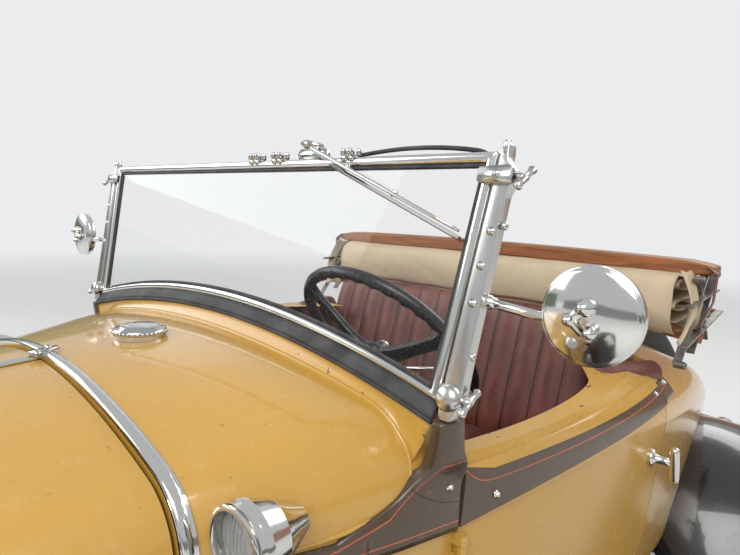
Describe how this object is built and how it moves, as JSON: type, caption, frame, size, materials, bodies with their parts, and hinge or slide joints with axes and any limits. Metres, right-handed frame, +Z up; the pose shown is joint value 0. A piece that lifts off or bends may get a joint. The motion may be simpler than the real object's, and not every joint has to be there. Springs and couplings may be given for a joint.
{
  "type": "open roadster car",
  "caption": "Two-seat open roadster car of about 1930 with folded canvas top, wire wheels, opening doors, bonnet and rear rumble seat lid, and linked steering.",
  "frame": {"origin": "on the ground under the middle of the car's overall length and width", "axes": "+X to the car's own left, +Y to its rear, +Z up"},
  "size_m": [1.7098, 4.1898, 1.5276],
  "materials": {
    "body_paint": "gloss",
    "belt_paint": "gloss",
    "wing_paint": "gloss",
    "board_rubber": "ribbed",
    "chrome": "polished",
    "screen_metal": "polished",
    "core_metal": "satin",
    "chassis_paint": "satin",
    "engine_paint": "painted",
    "exhaust_metal": "aged",
    "wheel_paint": "gloss",
    "tyre_rubber": "matte",
    "floor_board": "matted",
    "tank_paint": "satin",
    "dash_metal": "satin",
    "wheel_rim": "gloss",
    "leather": "worn",
    "canvas": "woven",
    "bow_wood": "varnished",
    "screen_glass": "clear",
    "lamp_glass": "fluted"
  },
  "bodies": {
    "car": {"cowl": "body_paint", "quarter_panels": "body_paint", "deck_panel": "body_paint", "tail_panel": "body_paint", "belt_moulding": "belt_paint", "front_wings": "wing_paint", "rear_wings": "wing_paint", "running_boards": "board_rubber", "radiator_shell": "chrome", "cowl_trim": "chrome", "bumpers": "chrome", "windscreen_posts": "chrome", "lamps": "chrome", "top_irons": "chrome", "windscreen_frame": "screen_metal", "radiator_core": "core_metal", "frame_rails": "chassis_paint", "crossmembers": "chassis_paint", "front_axle": "chassis_paint", "rear_axle": "chassis_paint", "springs": "chassis_paint", "spare_carrier": "chassis_paint", "steering_column": "chassis_paint", "engine": "engine_paint", "exhaust": "exhaust_metal", "spare_wheel": "wheel_paint", "spare_tyre": "tyre_rubber", "floor": "floor_board", "firewall_tank": "tank_paint", "dashboard": "dash_metal", "seat_cushion": "leather", "seat_back": "leather", "rumble_cushion": "leather", "folded_top": "canvas", "top_bows": "bow_wood", "windscreen_glass": "screen_glass", "lamp_lenses": "lamp_glass"},
    "knuckle_left_body": {"knuckle_left": "chassis_paint"},
    "knuckle_right_body": {"knuckle_right": "chassis_paint"},
    "tie_rod_body": {"tie_rod": "chassis_paint"},
    "drag_link_body": {"drag_link": "chassis_paint"},
    "pitman_body": {"pitman_arm": "chassis_paint"},
    "steering_wheel_body": {"steering_wheel": "wheel_rim"},
    "door_left_body": {"door_left": "body_paint"},
    "door_right_body": {"door_right": "body_paint"},
    "bonnet_top_left_body": {"bonnet_top_left": "body_paint"},
    "bonnet_top_right_body": {"bonnet_top_right": "body_paint"},
    "bonnet_side_left_body": {"bonnet_side_left": "body_paint"},
    "bonnet_side_right_body": {"bonnet_side_right": "body_paint"},
    "rumble_lid_body": {"rumble_lid": "body_paint", "rumble_back": "leather"},
    "road_wheel_front_left": {"wheel_front_left": "wheel_paint", "tyre_front_left": "tyre_rubber"},
    "road_wheel_front_right": {"wheel_front_right": "wheel_paint", "tyre_front_right": "tyre_rubber"},
    "road_wheel_rear_left": {"wheel_rear_left": "wheel_paint", "tyre_rear_left": "tyre_rubber"},
    "road_wheel_rear_right": {"wheel_rear_right": "wheel_paint", "tyre_rear_right": "tyre_rubber"}
  },
  "joints": [
    {"name": "steer_left", "type": "hinge", "parent": "car", "child": "knuckle_left_body", "pos_m": [0.622, -1.5, 0.362], "axis": [0, 0, 1], "range_deg": [-30, 30]},
    {"name": "steer_right", "type": "hinge", "parent": "car", "child": "knuckle_right_body", "pos_m": [-0.622, -1.5, 0.362], "axis": [0, 0, 1], "range_deg": [-30, 30]},
    {"name": "tie_rod_turn", "type": "hinge", "parent": "knuckle_left_body", "child": "tie_rod_body", "pos_m": [0.622, -1.35, 0.294], "axis": [0, 0, 1], "range_deg": [-30, 30]},
    {"name": "drag_link_turn", "type": "hinge", "parent": "knuckle_left_body", "child": "drag_link_body", "pos_m": [0.437, -1.5, 0.457], "axis": [0, 0, 1], "range_deg": [-30, 30]},
    {"name": "pitman_turn", "type": "hinge", "parent": "car", "child": "pitman_body", "pos_m": [0.437, -0.569, 0.479], "axis": [1, 0, 0], "range_deg": [-30, 30]},
    {"name": "steering_wheel_turn", "type": "hinge", "parent": "car", "child": "steering_wheel_body", "pos_m": [0.172, 0.098, 1.138], "axis": [0, 0.766, 0.6428], "range_deg": [-390, 390]},
    {"name": "spin_front_left", "type": "hinge", "parent": "knuckle_left_body", "child": "road_wheel_front_left", "pos_m": [0.711, -1.5, 0.362], "axis": [1, 0, 0], "continuous": true},
    {"name": "spin_front_right", "type": "hinge", "parent": "knuckle_right_body", "child": "road_wheel_front_right", "pos_m": [-0.711, -1.5, 0.362], "axis": [1, 0, 0], "continuous": true},
    {"name": "spin_rear_left", "type": "hinge", "parent": "car", "child": "road_wheel_rear_left", "pos_m": [0.711, 1.129, 0.362], "axis": [1, 0, 0], "continuous": true},
    {"name": "spin_rear_right", "type": "hinge", "parent": "car", "child": "road_wheel_rear_right", "pos_m": [-0.711, 1.129, 0.362], "axis": [1, 0, 0], "continuous": true},
    {"name": "door_left_swing", "type": "hinge", "parent": "car", "child": "door_left_body", "pos_m": [0.56, -0.162, 0.84], "axis": [0, 0, -1], "range_deg": [0, 70]},
    {"name": "door_right_swing", "type": "hinge", "parent": "car", "child": "door_right_body", "pos_m": [-0.56, -0.162, 0.84], "axis": [0, 0, 1], "range_deg": [0, 70]},
    {"name": "bonnet_top_left_lift", "type": "hinge", "parent": "car", "child": "bonnet_top_left_body", "pos_m": [0, -0.995, 1.1485], "axis": [0, -0.9978, -0.0669], "range_deg": [0, 80]},
    {"name": "bonnet_top_right_lift", "type": "hinge", "parent": "car", "child": "bonnet_top_right_body", "pos_m": [0, -0.995, 1.1485], "axis": [0, 0.9978, 0.0669], "range_deg": [0, 80]},
    {"name": "bonnet_side_left_fold", "type": "hinge", "parent": "bonnet_top_left_body", "child": "bonnet_side_left_body", "pos_m": [0.33665, -0.995, 0.9925], "axis": [-0.2015, -0.9787, -0.0381], "range_deg": [-50.4, 0]},
    {"name": "bonnet_side_right_fold", "type": "hinge", "parent": "bonnet_top_right_body", "child": "bonnet_side_right_body", "pos_m": [-0.33665, -0.995, 0.9925], "axis": [-0.2015, 0.9787, 0.0381], "range_deg": [-50.4, 0]},
    {"name": "rumble_lid_lift", "type": "hinge", "parent": "car", "child": "rumble_lid_body", "pos_m": [0, 1.5425, 0.889], "axis": [-1, 0, 0], "range_deg": [0, 85]}
  ],
  "couplings": [
    {"joint": "steer_right", "follows": "steer_left", "ratio": 1},
    {"joint": "tie_rod_turn", "follows": "steer_left", "ratio": -1},
    {"joint": "drag_link_turn", "follows": "steer_left", "ratio": -1},
    {"joint": "pitman_turn", "follows": "steer_left", "ratio": -1},
    {"joint": "steering_wheel_turn", "follows": "steer_left", "ratio": 13},
    {"joint": "bonnet_side_left_fold", "follows": "bonnet_top_left_lift", "ratio": -0.63},
    {"joint": "bonnet_side_right_fold", "follows": "bonnet_top_right_lift", "ratio": -0.63}
  ]
}
